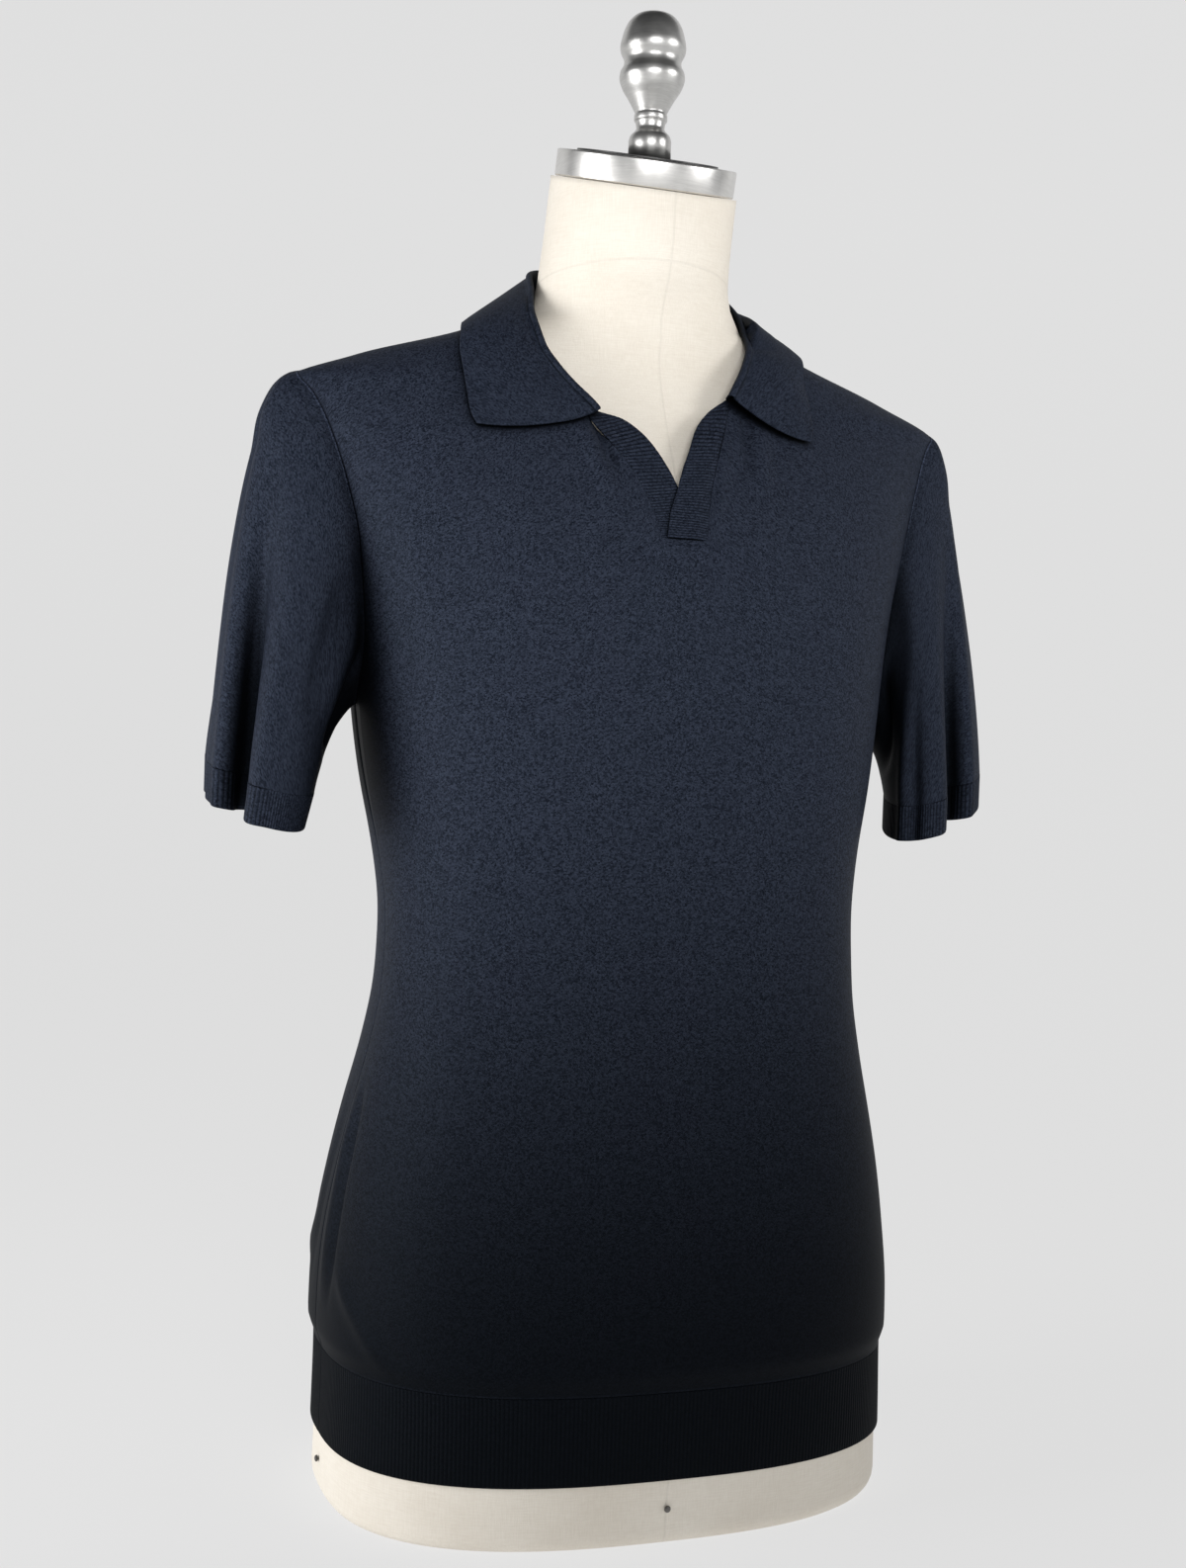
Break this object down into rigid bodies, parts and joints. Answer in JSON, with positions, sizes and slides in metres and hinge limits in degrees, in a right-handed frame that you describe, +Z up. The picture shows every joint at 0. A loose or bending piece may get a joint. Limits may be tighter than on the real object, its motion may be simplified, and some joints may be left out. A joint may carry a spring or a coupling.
{
  "type": "knitted polo shirt on a limbless tailor's dress form",
  "caption": "Fine-knit navy polo shirt with a buttonless ribbed V placket, soft collar, short ribbed sleeves and hem, worn by a padded linen dress form with a metal neck cap and knob.",
  "frame": {"origin": "on the flat base of the dress form, midway between its sides and on the shirt's centre line", "axes": "+Z up; -Y the way the wearer faces; +X towards the wearer's left"},
  "size_m": [0.5375, 0.2699, 0.9328],
  "materials": {
    "linen": "fine unbleached linen over padding",
    "cap_metal": "brushed",
    "plate_metal": "dark, satin",
    "finial_metal": "turned, satin",
    "pin_metal": "satin",
    "jersey": "navy melange fine knit, matt",
    "rib": "navy melange rib knit, matt"
  },
  "bodies": {
    "root": {"form_torso": "linen", "neck_cap": "cap_metal", "cap_plate": "plate_metal", "finial": "finial_metal", "pin_front": "pin_metal", "pin_side": "pin_metal", "front_panel": "jersey", "back_panel": "jersey", "sleeve_right": "jersey", "sleeve_left": "jersey", "hem_rib_front": "rib", "hem_rib_back": "rib", "cuff_right": "rib", "cuff_left": "rib", "collar": "rib", "placket_under": "rib", "placket_over": "rib"}
  },
  "joints": []
}
